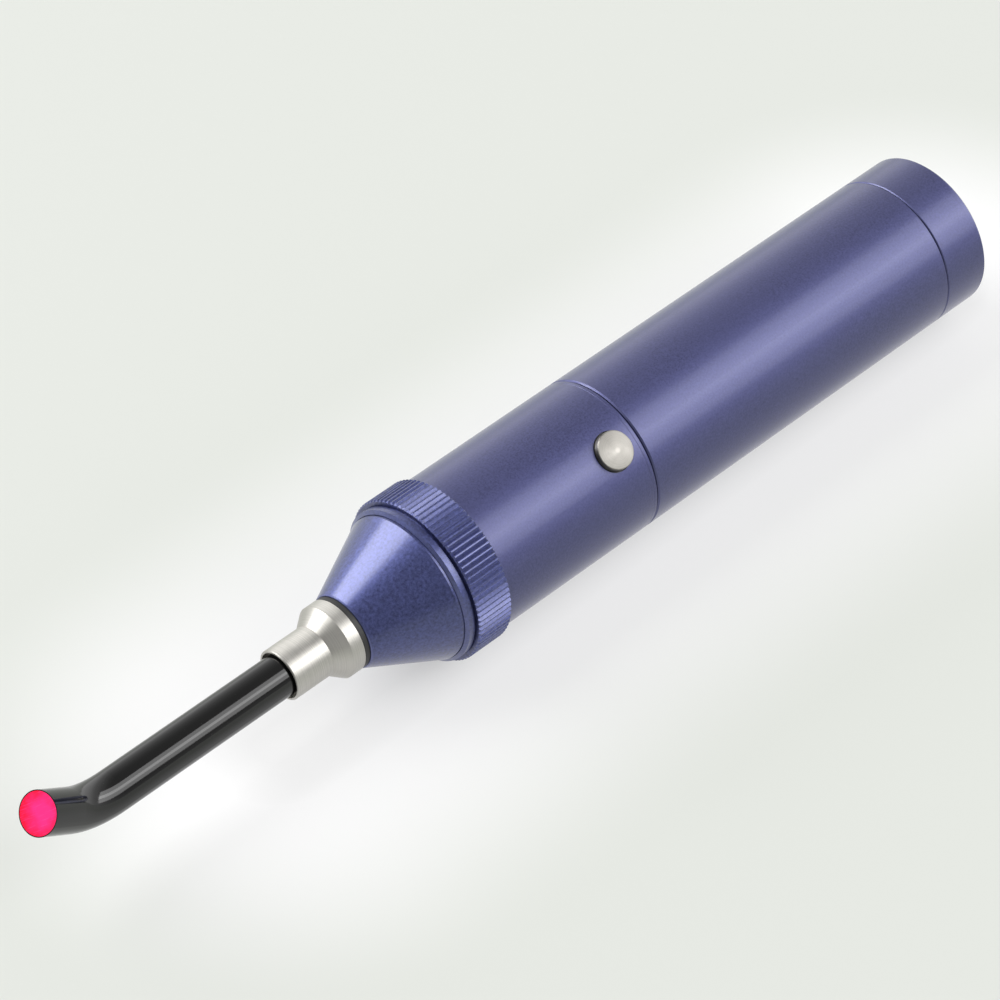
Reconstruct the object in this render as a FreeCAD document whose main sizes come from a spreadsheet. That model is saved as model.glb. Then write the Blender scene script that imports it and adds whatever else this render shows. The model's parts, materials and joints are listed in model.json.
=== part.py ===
import FreeCAD, Part
import math
import os
import re
import sys

import Sketcher

# Cordless curing light with a bent light guide, lying on its side.
# The barrel's axis is the X axis. The origin is the centre of the tail cap's flat rear face, and the
# light guide points along -X. A "station" is a distance forward of that rear face, in millimetres.
# Every body is drawn in a local frame whose x runs forward from the body's own station and whose z
# points at the push button (or, in the light guide, to the side that the guide bends to).

SIZES = [
    # alias, value, what it is
    ("body_radius", 15.5, "outside of the barrel"),
    ("cap_joint", 10.7, "station of the joint between tail cap and battery tube"),
    ("mid_joint", 88.8, "station of the joint between battery tube and head"),
    ("button_station", 95.0, "station of the push button's axis"),
    ("button_roll", 39.0, "turn of the button away from straight up, in degrees"),
    ("edge_chamfer", 0.5, "chamfer of the cap's rear edge"),
    ("joint_chamfer", 0.18, "fine chamfer at a joint"),
    ("tube_front_chamfer", 0.28, "wider chamfer on the tube at the mid joint"),
    ("cap_shadow_gap", 0.14, "width of the open groove at the cap's joint"),
    ("mid_shadow_gap", 0.28, "width of the open groove at the mid joint"),
    ("shadow_floor", 14.8, "bottom of those grooves"),
    ("fit_gap", 0.05, "gap of a piece that is pressed or dropped into its seat"),
    ("lead_chamfer", 0.4, "chamfer that leads a barrel thread in"),
    ("cap_floor", 3.4, "thickness of the tail cap's end wall"),
    ("seal_offset", 1.75, "barrel seal's middle, from the shoulder"),
    ("hairline_offset", 1.1, "fine turned line on the head, from the mid joint"),
    ("hairline_depth", 0.04, "depth and half width of that line"),
    # screwed joints of the battery tube, the same at both ends
    ("spigot_length", 10.0, "threaded spigot, from its shoulder"),
    ("spigot_land", 13.3, "radius of the spigot's plain land"),
    ("spigot_bore", 10.4, "radius of the spigot's bore"),
    ("land_length", 3.4, "plain land with the seal groove"),
    ("groove_near", 0.9, "seal groove's nearer side, from the shoulder"),
    ("groove_far", 2.6, "seal groove's further side, from the shoulder"),
    ("groove_radius", 12.0, "bottom of the seal groove"),
    ("seal_section", 0.65, "section radius of a barrel seal"),
    ("seal_middle", 12.7, "middle radius of a barrel seal"),
    ("seat_radius", 13.4, "smooth mouth of the tube"),
    ("seat_length", 3.5, "depth of the smooth mouth"),
    ("thread_zone", 10.4, "end of the tube's threaded zone, from its mouth"),
    ("tube_bore", 12.2, "radius of the battery tube's bore"),
    ("screw_pitch", 1.25, "pitch of the barrel threads"),
    ("screw_travel", 5.0, "four turns of the barrel thread"),
    ("screw_near", 4.2, "thread ridge's middle nearest the shoulder"),
    ("male_root", 12.35, "root radius of the outside thread"),
    ("male_crest", 12.95, "crest radius of the outside thread"),
    ("female_root", 13.1, "root radius of the inside thread"),
    ("female_crest", 12.5, "crest radius of the inside thread"),
    ("ridge_foot", 0.65, "width of a barrel thread ridge at its foot"),
    ("ridge_top", 0.25, "width of a barrel thread ridge at its crest"),
    ("ridge_sink", 0.1, "depth of a ridge's foot inside its wall"),
    # coupling ring between head and nose
    ("ring_rear", 126.7, "station of the knurled ring's rear rim"),
    ("bevel_rear", 134.15, "station where the knurl begins to fall away"),
    ("bevel_front", 134.45, "station of the knurl's front face"),
    ("bevel_radius", 16.1, "radius where the knurl's bevel meets its front face"),
    ("ring_groove_front", 134.72, "station where the groove before the knurl ends"),
    ("ring_groove_radius", 15.1, "bottom of that groove"),
    ("lip_rear", 134.8, "station where the plain lip begins"),
    ("lip_radius", 15.4, "outside of the plain lip"),
    ("lip_front", 136.0, "station where the lip's front bevel begins"),
    ("lip_edge", 0.06, "width of the lip's flat front edge"),
    ("knurl_edge", 0.15, "chamfer of the knurl's rear rim"),
    ("ring_front", 136.45, "station of the ring's front face"),
    ("knurl_radius", 16.4, "outside of the knurl"),
    ("knurl_depth", 0.42, "depth of a knurl groove"),
    ("knurl_half_width", 0.5, "half width of a knurl groove at the crest"),
    ("knurl_count", 92, "number of knurl grooves"),
    ("ring_pitch", 1.0, "pitch of the ring's thread"),
    ("ring_travel", 3.5, "three and a half turns of the ring's thread"),
    ("ring_screw_start", 128.3, "station where the head's thread ridge starts"),
    ("ring_male_root", 15.0, "root radius of the head's front thread"),
    ("ring_male_crest", 15.35, "crest radius of the head's front thread"),
    ("ring_female_root", 15.5, "root radius of the ring's thread"),
    ("ring_female_crest", 15.15, "crest radius of the ring's thread"),
    ("ring_ridge_foot", 0.48, "width of the ring's thread ridge at its foot"),
    ("ring_ridge_top", 0.2, "width of the ring's thread ridge at its crest"),
    ("ring_mouth", 15.6, "radius of the ring's rear mouth, over the barrel"),
    ("ring_lip", 14.66, "radius of the ring's front opening"),
    ("ring_chamber", 15.15, "radius inside the ring, over the nose flange"),
    ("chamber_rear", 132.8, "station where that chamber begins"),
    ("ring_screw_rear", 128.0, "station where the ring's thread wall begins"),
    ("lip_shoulder", 134.3, "station of the shoulder that holds the nose flange"),
    ("head_front", 132.3, "station of the head's front face"),
    ("head_shoulder", 127.7, "station where the barrel steps down to the front thread"),
    ("head_lead", 0.3, "chamfer that leads the ring's thread in"),
    ("gasket_bore", 13.2, "bore of the nose gasket"),
    ("gasket_radius", 14.7, "outside of the nose gasket"),
    # nose cone
    ("nose_rear", 133.1, "station of the nose flange's rear face"),
    ("nose_flange", 15.05, "radius of the nose flange"),
    ("nose_neck", 14.58, "radius of the nose where it leaves the ring"),
    ("cone_rear", 136.95, "station where the nose's cone begins"),
    ("nose_front", 151.95, "station of the nose's front face"),
    ("nose_tip", 7.48, "radius of the nose at its front"),
    ("nose_bore", 6.0, "radius of the bore for the guide socket"),
    ("nose_mouth", 12.9, "radius of the cone's hollow at the rear"),
    ("nose_rim", 1.5, "straight length of that hollow"),
    ("nose_seat", 7.0, "radius of the cone's hollow at the socket"),
    ("tip_chamfer", 0.2, "chamfer of the cone's front edge"),
    ("socket_step", 146.4, "station where the nose bore begins"),
    # light guide and its collar
    ("stem_rear", 142.4, "station of the collar stem's rear end"),
    ("stem_radius", 5.0, "outside of the collar's stem and front sleeve"),
    ("socket_bore", 5.06, "radius of the guide socket's bore"),
    ("socket_rear", 140.9, "station of the guide socket's rear end"),
    ("socket_lead", 0.5, "chamfer inside the socket's rear end"),
    ("socket_flange", 1.55, "thickness of the socket's flange"),
    ("socket_flange_radius", 6.8, "outside of the socket's flange"),
    ("stem_chamfer", 0.3, "chamfer of the stem's rear end"),
    ("guide_seal_station", 147.9, "station of the stem's O-ring"),
    ("guide_seal_middle", 4.76, "middle radius of the stem's O-ring"),
    ("guide_seal_section", 0.28, "section radius of the stem's O-ring"),
    ("stem_groove_half", 0.35, "half width of the stem's seal groove"),
    ("stem_groove_radius", 4.45, "bottom of the stem's seal groove"),
    ("guide_gasket_bore", 5.08, "bore of the gasket behind the flange"),
    ("guide_gasket_radius", 7.12, "outside of the gasket behind the flange"),
    ("flange_rear", 153.05, "station of the collar flange's rear face"),
    ("flange_front", 155.65, "station of the flange's front edge"),
    ("flange_radius", 7.2, "radius of the collar's flange"),
    ("flange_edge", 0.1, "chamfer of the flange's rear edge"),
    ("neck_station", 158.55, "station where the collar's chamfer ends"),
    ("collar_front", 166.85, "station of the collar's front rim"),
    ("rim_chamfer", 0.15, "chamfer of the collar's front rim"),
    ("rim_recess", 1.6, "depth of the recess in the collar's front rim"),
    ("rim_bore", 4.54, "radius of the recess in the collar's front rim"),
    ("collar_bore", 4.03, "radius of the collar's bore"),
    ("guide_radius", 4.0, "outside of the light guide"),
    ("sheath_gap", 0.02, "gap between the glass core and its sheath"),
    ("core_radius", 3.8, "radius of the glass fibre core"),
    ("guide_rear", 142.6, "station of the light guide's rear face"),
    ("guide_straight", 62.2, "straight run of the light guide"),
    ("bend_radius", 16.4, "radius of the guide's bend, on its axis"),
    ("bend_angle", 37.4, "angle of the guide's bend, in degrees"),
    ("tip_run", 8.0, "straight run after the bend"),
    ("guide_roll", 7.0, "turn of the guide's bend away from straight up, in degrees"),
    # push button and switch, radii from the barrel's axis
    ("button_hole", 3.9, "radius of the hole in the barrel"),
    ("button_radius", 3.65, "radius of the button's cap"),
    ("button_edge", 0.14, "chamfer of the button's rim"),
    ("skirt_inside", 2.95, "inside radius of the button's skirt"),
    ("skirt_bottom", 13.75, "height of the skirt's lower edge"),
    ("crown_inside", 15.5, "height of the crown's underside"),
    ("button_stem", 1.3, "radius of the button's stem"),
    ("stem_bottom", 9.85, "height of the stem's lower end"),
    ("crown_fall", 0.12, "fall of the crown half way out to the rim"),
    ("crown_flat", 0.3, "radius of the flat spot in the crown's middle"),
    ("plunger_radius", 1.7, "radius of the switch's plunger"),
    ("plunger_bottom", 8.0, "height of the plunger's lower end"),
    ("plunger_bevel", 0.2, "bevel of the plunger's top"),
    ("clip_radius", 2.2, "outside of the clip that keeps the button in"),
    ("clip_bottom", 10.75, "height of the clip"),
    ("clip_thickness", 0.25, "thickness of the clip"),
    ("clip_overlap", 0.05, "gap between the clip or the bush and the stem"),
    ("bush_bottom", 11.1, "height of the bush's lower face"),
    ("bush_top", 13.0, "height of the bush's upper face"),
    ("button_seal_bottom", 13.1, "height of the button seal's lower edge"),
    ("button_seal_top", 14.7, "height of the button seal's upper edge"),
    ("button_seal_gap", 0.035, "gap on each side of the button's seal"),
    ("spring_pitch", 0.58, "pitch of the button's spring"),
    ("spring_height", 1.74, "three turns of the button's spring"),
    ("spring_radius", 2.1, "middle radius of the button's spring"),
    ("spring_wire", 0.18, "radius of the button spring's wire"),
    ("spring_bottom", 13.24, "height of the button spring's first turn"),
    ("button_rim", 16.5, "height of the cap's rim above the barrel's axis"),
    ("button_top", 16.95, "height of the cap's crown"),
    ("board_rear", 91.4, "station of the driver board's rear edge"),
    ("board_length", 25.4, "length of the driver board"),
    ("board_half_width", 10.1, "half width of the driver board"),
    ("board_bottom", 5.2, "height of the driver board's underside"),
    ("board_thickness", 1.6, "thickness of a circuit board"),
    ("solder_gap", 0.02, "solder under a component"),
    ("switch_half", 3.0, "half width of the tactile switch"),
    ("switch_height", 2.3, "height of the tactile switch"),
    ("well_radius", 1.78, "radius of the switch's well"),
    ("well_floor", 0.5, "thickness of the switch under its well"),
    ("well_depth", 2.0, "depth cut for the switch's well"),
    ("carrier_radius", 12.3, "outside of the board's carrier"),
    ("carrier_bore", 10.9, "inside of the board's carrier"),
    ("lead_offset", 3.0, "distance of a battery lead from the middle"),
    ("lead_radius", 0.6, "radius of a battery lead"),
    # cavities of the head
    ("cavity_rear", 90.4, "station where the head's cavity begins"),
    ("cavity_radius", 12.4, "radius of the head's cavity"),
    ("cavity_clearance", 1.0, "how far a cut runs past the wall that it opens"),
    ("sink_rear", 118.4, "station of the heat sink's seat"),
    ("sink_bore", 12.8, "radius of the heat sink's seat"),
    ("sink_length", 7.8, "length of the heat sink"),
    ("sink_recess", 1.5, "depth of the step round the heat sink's rear"),
    ("sink_recess_radius", 10.4, "radius of that step"),
    ("sink_wire_hole", 0.8, "radius of a wire hole in the heat sink"),
    ("sink_screw_hole", 1.02, "radius of a tapped hole in the heat sink"),
    # LED board and optics
    ("wire_offset", 2.5, "distance of an LED wire from the middle"),
    ("wire_height", 6.0, "height of the wires above the barrel's axis"),
    ("wire_radius", 0.55, "radius of an LED wire"),
    ("wire_stub", 0.45, "length of wire proud of the LED board"),
    ("screw_offset", 7.2, "distance of a board screw from the middle"),
    ("screw_rear", 4.0, "how far a screw reaches behind the LED board"),
    ("screw_shank", 5.65, "length of a board screw's shank"),
    ("shank_radius", 0.95, "radius of a board screw's shank"),
    ("screw_head", 1.3, "height of a board screw's head"),
    ("screw_head_radius", 1.9, "radius of a board screw's head"),
    ("board_gap", 0.1, "gap between the heat sink and the LED board"),
    ("led_board_radius", 9.5, "outside of the LED board"),
    ("board_wire_hole", 0.7, "radius of a wire hole in the LED board"),
    ("board_screw_hole", 1.1, "radius of a screw hole in the LED board"),
    ("package_radius", 2.6, "radius of the LED's package"),
    ("package_height", 0.9, "height of the LED's package"),
    ("dome_radius", 1.55, "radius of the LED's dome"),
    ("holder_offset", 0.2, "lens holder's rear face, from the heat sink"),
    ("holder_bore", 11.2, "bore of the lens holder's rear rim"),
    ("holder_radius", 12.4, "outside of the lens holder"),
    ("holder_rim", 5.4, "straight length of the lens holder"),
    ("holder_length", 12.2, "length of the lens holder"),
    ("holder_front", 10.3, "outside of the lens holder at the front"),
    ("holder_mouth", 9.75, "bore of the lens holder at the front"),
    ("holder_floor", 3.0, "rear face of the lens holder's floor"),
    ("holder_throat_length", 0.9, "thickness of that floor at the throat"),
    ("holder_throat", 4.3, "bore of the lens holder's floor"),
    ("lens_offset", 3.1, "lens's rear face, from the heat sink"),
    ("lens_rear_radius", 3.6, "outside of the lens at the rear"),
    ("lens_skirt", 0.9, "straight length of the lens at the rear"),
    ("lens_radius", 9.1, "outside of the lens at the front"),
    ("lens_rim", 9.2, "distance from the lens's rear to its rim"),
    ("lens_length", 9.9, "length of the lens"),
    ("well_in_lens", 2.4, "depth of the well over the LED"),
    ("well_in_lens_edge", 1.6, "depth of that well at its edge"),
    ("well_in_lens_radius", 2.4, "radius of the well over the LED"),
    # contacts
    ("disc_radius", 10.3, "outside of a contact board or disc"),
    ("front_contact_depth", 2.6, "contact board's rear face, from the spigot's end"),
    ("pin_length", 1.45, "length of the positive pin"),
    ("pin_gap", 0.03, "gap between the pin and its board"),
    ("pin_radius", 2.5, "outside of the positive pin"),
    ("pin_bevel", 0.3, "bevel of the positive pin's rear end"),
    ("retainer_bore", 8.6, "bore of a contact's locking ring"),
    ("head_retainer_length", 1.2, "thickness of the front locking ring"),
    ("rear_disc", 3.45, "station of the rear contact disc"),
    ("cap_retainer_length", 1.5, "thickness of the rear locking ring"),
    ("contact_pitch", 2.0, "pitch of the contact spring"),
    ("contact_height", 8.2, "height of the contact spring over its wire's middle"),
    ("contact_radius", 7.2, "radius of the contact spring's widest turn"),
    ("contact_wire", 0.5, "radius of the contact spring's wire"),
    ("contact_taper", 16.0, "half angle of the contact spring's cone, in degrees"),
    ("contact_foot", 5.86, "station of the contact spring's first turn"),
    # battery
    ("cell_rear", 14.9, "station of the cell's rear end"),
    ("cell_length", 65.0, "length of the cell over its terminal"),
    ("cell_radius", 9.25, "radius of the cell over its wrap"),
    ("wrap_thickness", 0.17, "thickness of the cell's wrap"),
    ("wrap_offset", 0.3, "wrap's rear edge, from the cell's"),
    ("can_gap", 0.2, "can's outside, inside the wrap's"),
    ("can_corner", 0.25, "length of the can's rear corner"),
    ("can_rear_radius", 8.9, "radius of the can's flat rear"),
    ("can_floor", 0.35, "thickness of the can's rear wall"),
    ("can_bore", 8.75, "inside of the can"),
    ("crimp_length", 1.2, "the can's crimp begins so far from the cell's front"),
    ("crimp_front", 0.95, "the can ends so far from the cell's front"),
    ("crimp_inside", 1.25, "underside of the crimp, from the cell's front"),
    ("crimp_radius", 8.85, "outside of the crimped edge"),
    ("crimp_bore", 7.9, "bore of the crimped edge"),
    ("core_offset", 0.5, "electrode roll's rear face, from the cell's"),
    ("core_spare", 2.6, "how much shorter the roll is than the cell"),
    ("roll_radius", 8.65, "outside of the electrode roll"),
    ("terminal_height", 1.9, "height of the cell's terminal"),
    ("terminal_flange", 7.6, "outside of the terminal's flange"),
    ("flange_thickness", 0.6, "thickness of the terminal's flange"),
    ("button_foot", 3.8, "radius of the terminal's button at its foot"),
    ("button_shoulder", 3.6, "radius of the terminal's button at its shoulder"),
    ("button_face", 3.4, "radius of the terminal's flat end"),
    ("shoulder_height", 0.15, "height of the terminal's rounded edge"),
    ("wrap_spare", 1.6, "how much shorter the wrap is than the cell"),
    ("sleeve_gap", 0.3, "gap at each end of the battery's sleeve"),
    ("sleeve_radius", 12.1, "outside of the battery's sleeve"),
    ("sleeve_bore", 9.37, "bore of the battery's sleeve"),
    ("sleeve_mouth", 9.7, "bore of the sleeve's bevelled ends"),
    ("sleeve_bevel", 0.3, "bevels at the ends of the sleeve"),
]

SIZE = {alias: number for alias, number, note in SIZES}

doc = FreeCAD.newDocument("CuringLight")
sheet = doc.addObject("Spreadsheet::Sheet", "Sizes")
for row, (alias, number, note) in enumerate(SIZES, start=1):
    sheet.set("A%d" % row, alias)
    sheet.set("B%d" % row, str(number))
    sheet.setAlias("B%d" % row, alias)
    sheet.set("C%d" % row, note)
doc.recompute()

AXIS_X = FreeCAD.Vector(1, 0, 0)
AXIS_Z = FreeCAD.Vector(0, 0, 1)
parts = []


def value(formula):
    """Work out a sum of sheet names and numbers, such as "spigot_length - 3.4"."""
    total = 0.0
    sign = 1
    for word in formula.split():
        if word in ("+", "-"):
            sign = 1 if word == "+" else -1
        else:
            total += sign * (SIZE[word] if word in SIZE else float(word))
            sign = 1
    return total


def bound(formula):
    """The same sum as a FreeCAD expression that reads the sheet."""
    return re.sub(r"[a-z]\w*", r"Sizes.\g<0>", formula)


def place(piece, station, roll="button_roll"):
    """Put a body's local origin at a station, with its x pointing forward."""
    turn = FreeCAD.Rotation(AXIS_X, SIZE[roll]) * FreeCAD.Rotation(AXIS_Z, 180)
    piece.Placement = FreeCAD.Placement(FreeCAD.Vector(-value(station), 0, 0), turn)
    piece.setExpression("Placement.Base.x", "-(%s)" % bound(station))
    return piece


def new_body(label, station, roll="button_roll"):
    """Start a sub-part as a PartDesign body."""
    body = doc.addObject("PartDesign::Body", label)
    body.Label = label
    parts.append(place(body, station, roll))
    return body


def sketch_on(body, role, offset=None):
    """Add a sketch on one of the body's own origin planes, or raised above it."""
    sketch = body.newObject("Sketcher::SketchObject", body.Label + "_sketch")
    plane = [item for item in body.Origin.OriginFeatures if item.Role == role][0]
    sketch.AttachmentSupport = [(plane, "")]
    sketch.MapMode = "FlatFace"
    if offset is not None:
        sketch.AttachmentOffset = FreeCAD.Placement(
            FreeCAD.Vector(0, 0, value(offset)), FreeCAD.Rotation())
        sketch.setExpression("AttachmentOffset.Base.z", bound(offset))
    return sketch


def pin_down(sketch, edge, end, corner):
    """Tie one end of an edge to a pair of size formulas."""
    for kind, formula in zip(("DistanceX", "DistanceY"), corner):
        index = sketch.addConstraint(
            Sketcher.Constraint(kind, -1, 1, edge, end, value(formula)))
        sketch.setExpression("Constraints[%d]" % index, bound(formula))


def outline(sketch, corners, arc=None):
    """Draw a closed outline through pairs of size formulas: straight edges, and one arc at most.

    The arc is given as its edge's number and a point that it passes through, anticlockwise.
    """
    points = [FreeCAD.Vector(value(across), value(up), 0) for across, up in corners]
    first = sketch.GeometryCount
    count = len(corners)
    for edge in range(count):
        start, end = points[edge], points[(edge + 1) % count]
        if arc and edge == arc[0]:
            through = FreeCAD.Vector(value(arc[1][0]), value(arc[1][1]), 0)
            sketch.addGeometry(Part.Arc(start, through, end))
        else:
            sketch.addGeometry(Part.LineSegment(start, end))
    for edge in range(count):
        following = first + (edge + 1) % count
        sketch.addConstraint(Sketcher.Constraint("Coincident", first + edge, 2, following, 1))
        pin_down(sketch, first + edge, 1, corners[edge])


def circle(sketch, across, up, radius):
    """Draw a circle whose centre and radius are size formulas."""
    centre = FreeCAD.Vector(value(across), value(up), 0)
    edge = sketch.addGeometry(Part.Circle(centre, AXIS_Z, value(radius)))
    pin_down(sketch, edge, 3, (across, up))
    index = sketch.addConstraint(Sketcher.Constraint("Radius", edge, value(radius)))
    sketch.setExpression("Constraints[%d]" % index, bound(radius))


def turned(label, station, corners, axis="H_Axis", arc=None):
    """A sub-part made on the lathe: an outline of (along, radius) formulas, revolved about the
    body's x axis, or one of (radius, height) formulas revolved about its z axis."""
    body = new_body(label, station)
    sketch = sketch_on(body, "XZ_Plane")
    outline(sketch, corners, arc)
    spin = body.newObject("PartDesign::Revolution", body.Label + "_turned")
    spin.Profile = sketch
    spin.ReferenceAxis = (sketch, [axis])
    spin.Angle = 360
    return body


def add_thread(body, start, foot, crest, widths, pitch, travel):
    """Add a right-hand helical ridge from a foot radius to a crest radius."""
    outward = value(crest) > value(foot)
    sunk = "%s %s ridge_sink" % (foot, "-" if outward else "+")
    foot_width, top_width = (value(width) / 2 for width in widths)
    middle = value(start)
    sketch = sketch_on(body, "XZ_Plane")
    corners = [(middle - foot_width, sunk), (middle - top_width, crest),
               (middle + top_width, crest), (middle + foot_width, sunk)]
    outline(sketch, [("%.4f" % along, radius) for along, radius in corners])
    ridge = body.newObject("PartDesign::AdditiveHelix", body.Label + "_thread")
    ridge.Profile = sketch
    ridge.ReferenceAxis = (sketch, ["H_Axis"])
    ridge.Mode = 0
    ridge.Pitch = value(pitch)
    ridge.Height = value(travel)
    ridge.setExpression("Pitch", bound(pitch))
    ridge.setExpression("Height", bound(travel))
    ridge.LeftHanded = False
    ridge.Reversed = False
    return ridge


def cut(body, sketch, length, reversed_way):
    """Pocket a sketch, and make sure that it takes material away."""
    doc.recompute()
    before = body.Shape.Volume
    pocket = body.newObject("PartDesign::Pocket", body.Label + "_pocket")
    pocket.Profile = sketch
    pocket.Length = value(length)
    pocket.setExpression("Length", bound(length))
    pocket.Reversed = reversed_way
    doc.recompute()
    if body.Shape.Volume >= before:
        sys.exit("the pocket in %s cuts nothing" % body.Label)
    return pocket


def pad(body, sketch, length):
    """Extrude a sketch along its normal."""
    solid = body.newObject("PartDesign::Pad", body.Label + "_pad")
    solid.Profile = sketch
    solid.Length = value(length)
    solid.setExpression("Length", bound(length))
    return solid


def block(label, station, footprint, level, height):
    """A box on the head's boards: footprint (x0, y0, x1, y1), standing on a height above the axis."""
    body = new_body(label, station)
    add_block(body, footprint, level, height)
    return body


def add_block(body, footprint, level, height):
    """Pad one box in a body."""
    rear, right, front, left = footprint
    sketch = sketch_on(body, "XY_Plane", level)
    outline(sketch, [(rear, right), (front, right), (front, left), (rear, left)])
    return pad(body, sketch, height)


def rods(label, station, centres, radius, length):
    """Round bars along the barrel, at (y, z) centres."""
    body = new_body(label, station)
    sketch = sketch_on(body, "YZ_Plane")
    for across, up in centres:
        circle(sketch, across, up, radius)
    pad(body, sketch, length)
    return body


def drill(body, centres, radius, length):
    """Bore holes forward from the body's rear plane, at (y, z) centres."""
    sketch = sketch_on(body, "YZ_Plane")
    for across, up in centres:
        circle(sketch, across, up, radius)
    return cut(body, sketch, length, True)


def seal_ring(label, station, middle, section):
    """An O-ring round the barrel's axis."""
    ring = doc.addObject("Part::Torus", label)
    ring.Label = label
    ring.setExpression("Radius1", bound(middle))
    ring.setExpression("Radius2", bound(section))
    turn = FreeCAD.Rotation(FreeCAD.Vector(0, 1, 0), 90)
    ring.Placement = FreeCAD.Placement(FreeCAD.Vector(-value(station), 0, 0), turn)
    ring.setExpression("Placement.Base.x", "-(%s)" % bound(station))
    parts.append(ring)
    return ring


def coil(label, pitch, height, radius, wire, taper=None):
    """A coil spring along local z, swept from a round wire. A taper narrows it as it climbs."""
    spine = doc.addObject("Part::Helix", label + "_path")
    for name, alias in (("Pitch", pitch), ("Height", height), ("Radius", radius)):
        spine.setExpression(name, bound(alias))
    if taper is not None:
        spine.setExpression("Angle", "-(%s)" % bound(taper))
    section = doc.addObject("Part::Circle", label + "_wire")
    section.setExpression("Radius", bound(wire))
    section.Placement = FreeCAD.Placement(
        FreeCAD.Vector(value(radius), 0, 0), FreeCAD.Rotation(AXIS_X, 90))
    section.setExpression("Placement.Base.x", bound(radius))
    spring = doc.addObject("Part::Sweep", label)
    spring.Label = label
    spring.Sections = [section]
    spring.Spine = (spine, [])
    spring.Solid = True
    spring.Frenet = True
    parts.append(spring)
    return spring


# ---------------------------------------------------------------- barrel

def tail_cap():
    """Rear cap: a cup with a sealed, threaded spigot that screws into the tube."""
    shoulder = "cap_joint"
    body = turned("tail_cap", "0", [
        ("0", "0"),
        ("0", "body_radius - edge_chamfer"),
        ("edge_chamfer", "body_radius"),
        (shoulder + " - cap_shadow_gap - joint_chamfer", "body_radius"),
        (shoulder + " - cap_shadow_gap", "body_radius - joint_chamfer"),
        (shoulder + " - cap_shadow_gap", "shadow_floor"),
        (shoulder, "shadow_floor"),
        (shoulder, "spigot_land"),
        (shoulder + " + groove_near", "spigot_land"),
        (shoulder + " + groove_near", "groove_radius"),
        (shoulder + " + groove_far", "groove_radius"),
        (shoulder + " + groove_far", "spigot_land"),
        (shoulder + " + land_length", "spigot_land"),
        (shoulder + " + land_length", "male_root"),
        (shoulder + " + spigot_length - lead_chamfer", "male_root"),
        (shoulder + " + spigot_length", "male_root - lead_chamfer"),
        (shoulder + " + spigot_length", "spigot_bore"),
        ("cap_floor", "spigot_bore"),
        ("cap_floor", "0"),
    ])
    add_thread(body, shoulder + " + screw_near", "male_root", "male_crest",
               ("ridge_foot", "ridge_top"), "screw_pitch", "screw_travel")


def battery_tube():
    """Rear barrel: a plain tube, threaded inside at both ends."""
    length = "mid_joint - cap_joint"
    body = turned("battery_tube", "cap_joint", [
        ("0", "seat_radius"),
        ("0", "body_radius - joint_chamfer"),
        ("joint_chamfer", "body_radius"),
        (length + " - tube_front_chamfer", "body_radius"),
        (length, "body_radius - tube_front_chamfer"),
        (length, "seat_radius"),
        (length + " - seat_length", "seat_radius"),
        (length + " - seat_length", "female_root"),
        (length + " - thread_zone", "female_root"),
        (length + " - thread_zone", "tube_bore"),
        ("thread_zone", "tube_bore"),
        ("thread_zone", "female_root"),
        ("seat_length", "female_root"),
        ("seat_length", "seat_radius"),
    ])
    half_pitch = "%.4f" % (SIZE["screw_pitch"] / 2)
    for start in ("screw_near + " + half_pitch,
                  length + " - screw_near - screw_travel - " + half_pitch):
        add_thread(body, start, "female_root", "female_crest",
                   ("ridge_foot", "ridge_top"), "screw_pitch", "screw_travel")


def head_housing():
    """Front barrel: it holds the electronics, the button and the LED, and ends in the ring's thread."""
    length = "head_front - mid_joint + spigot_length"
    to_station = "- mid_joint + spigot_length"
    hairline = "spigot_length + hairline_offset"
    body = turned("head_housing", "mid_joint - spigot_length", [
        ("0", "spigot_bore"),
        ("0", "male_root - lead_chamfer"),
        ("lead_chamfer", "male_root"),
        ("spigot_length - land_length", "male_root"),
        ("spigot_length - land_length", "spigot_land"),
        ("spigot_length - groove_far", "spigot_land"),
        ("spigot_length - groove_far", "groove_radius"),
        ("spigot_length - groove_near", "groove_radius"),
        ("spigot_length - groove_near", "spigot_land"),
        ("spigot_length", "spigot_land"),
        ("spigot_length", "shadow_floor"),
        ("spigot_length + mid_shadow_gap", "shadow_floor"),
        ("spigot_length + mid_shadow_gap", "body_radius - joint_chamfer"),
        ("spigot_length + mid_shadow_gap + joint_chamfer", "body_radius"),
        (hairline + " - hairline_depth", "body_radius"),
        (hairline, "body_radius - hairline_depth"),
        (hairline + " + hairline_depth", "body_radius"),
        ("head_shoulder " + to_station, "body_radius"),
        ("head_shoulder " + to_station, "ring_male_root"),
        (length + " - head_lead", "ring_male_root"),
        (length, "ring_male_root - head_lead"),
        (length, "sink_bore"),
        ("sink_rear " + to_station, "sink_bore"),
        ("sink_rear " + to_station, "cavity_radius"),
        ("cavity_rear " + to_station, "cavity_radius"),
        ("cavity_rear " + to_station, "spigot_bore"),
    ])
    add_thread(body, "spigot_length - screw_near - screw_travel", "male_root", "male_crest",
               ("ridge_foot", "ridge_top"), "screw_pitch", "screw_travel")
    add_thread(body, "ring_screw_start " + to_station, "ring_male_root", "ring_male_crest",
               ("ring_ridge_foot", "ring_ridge_top"), "ring_pitch", "ring_travel")
    hole = sketch_on(body, "XY_Plane")
    circle(hole, "button_station " + to_station, "0", "button_hole")
    cut(body, hole, "body_radius + cavity_clearance", True)


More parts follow.
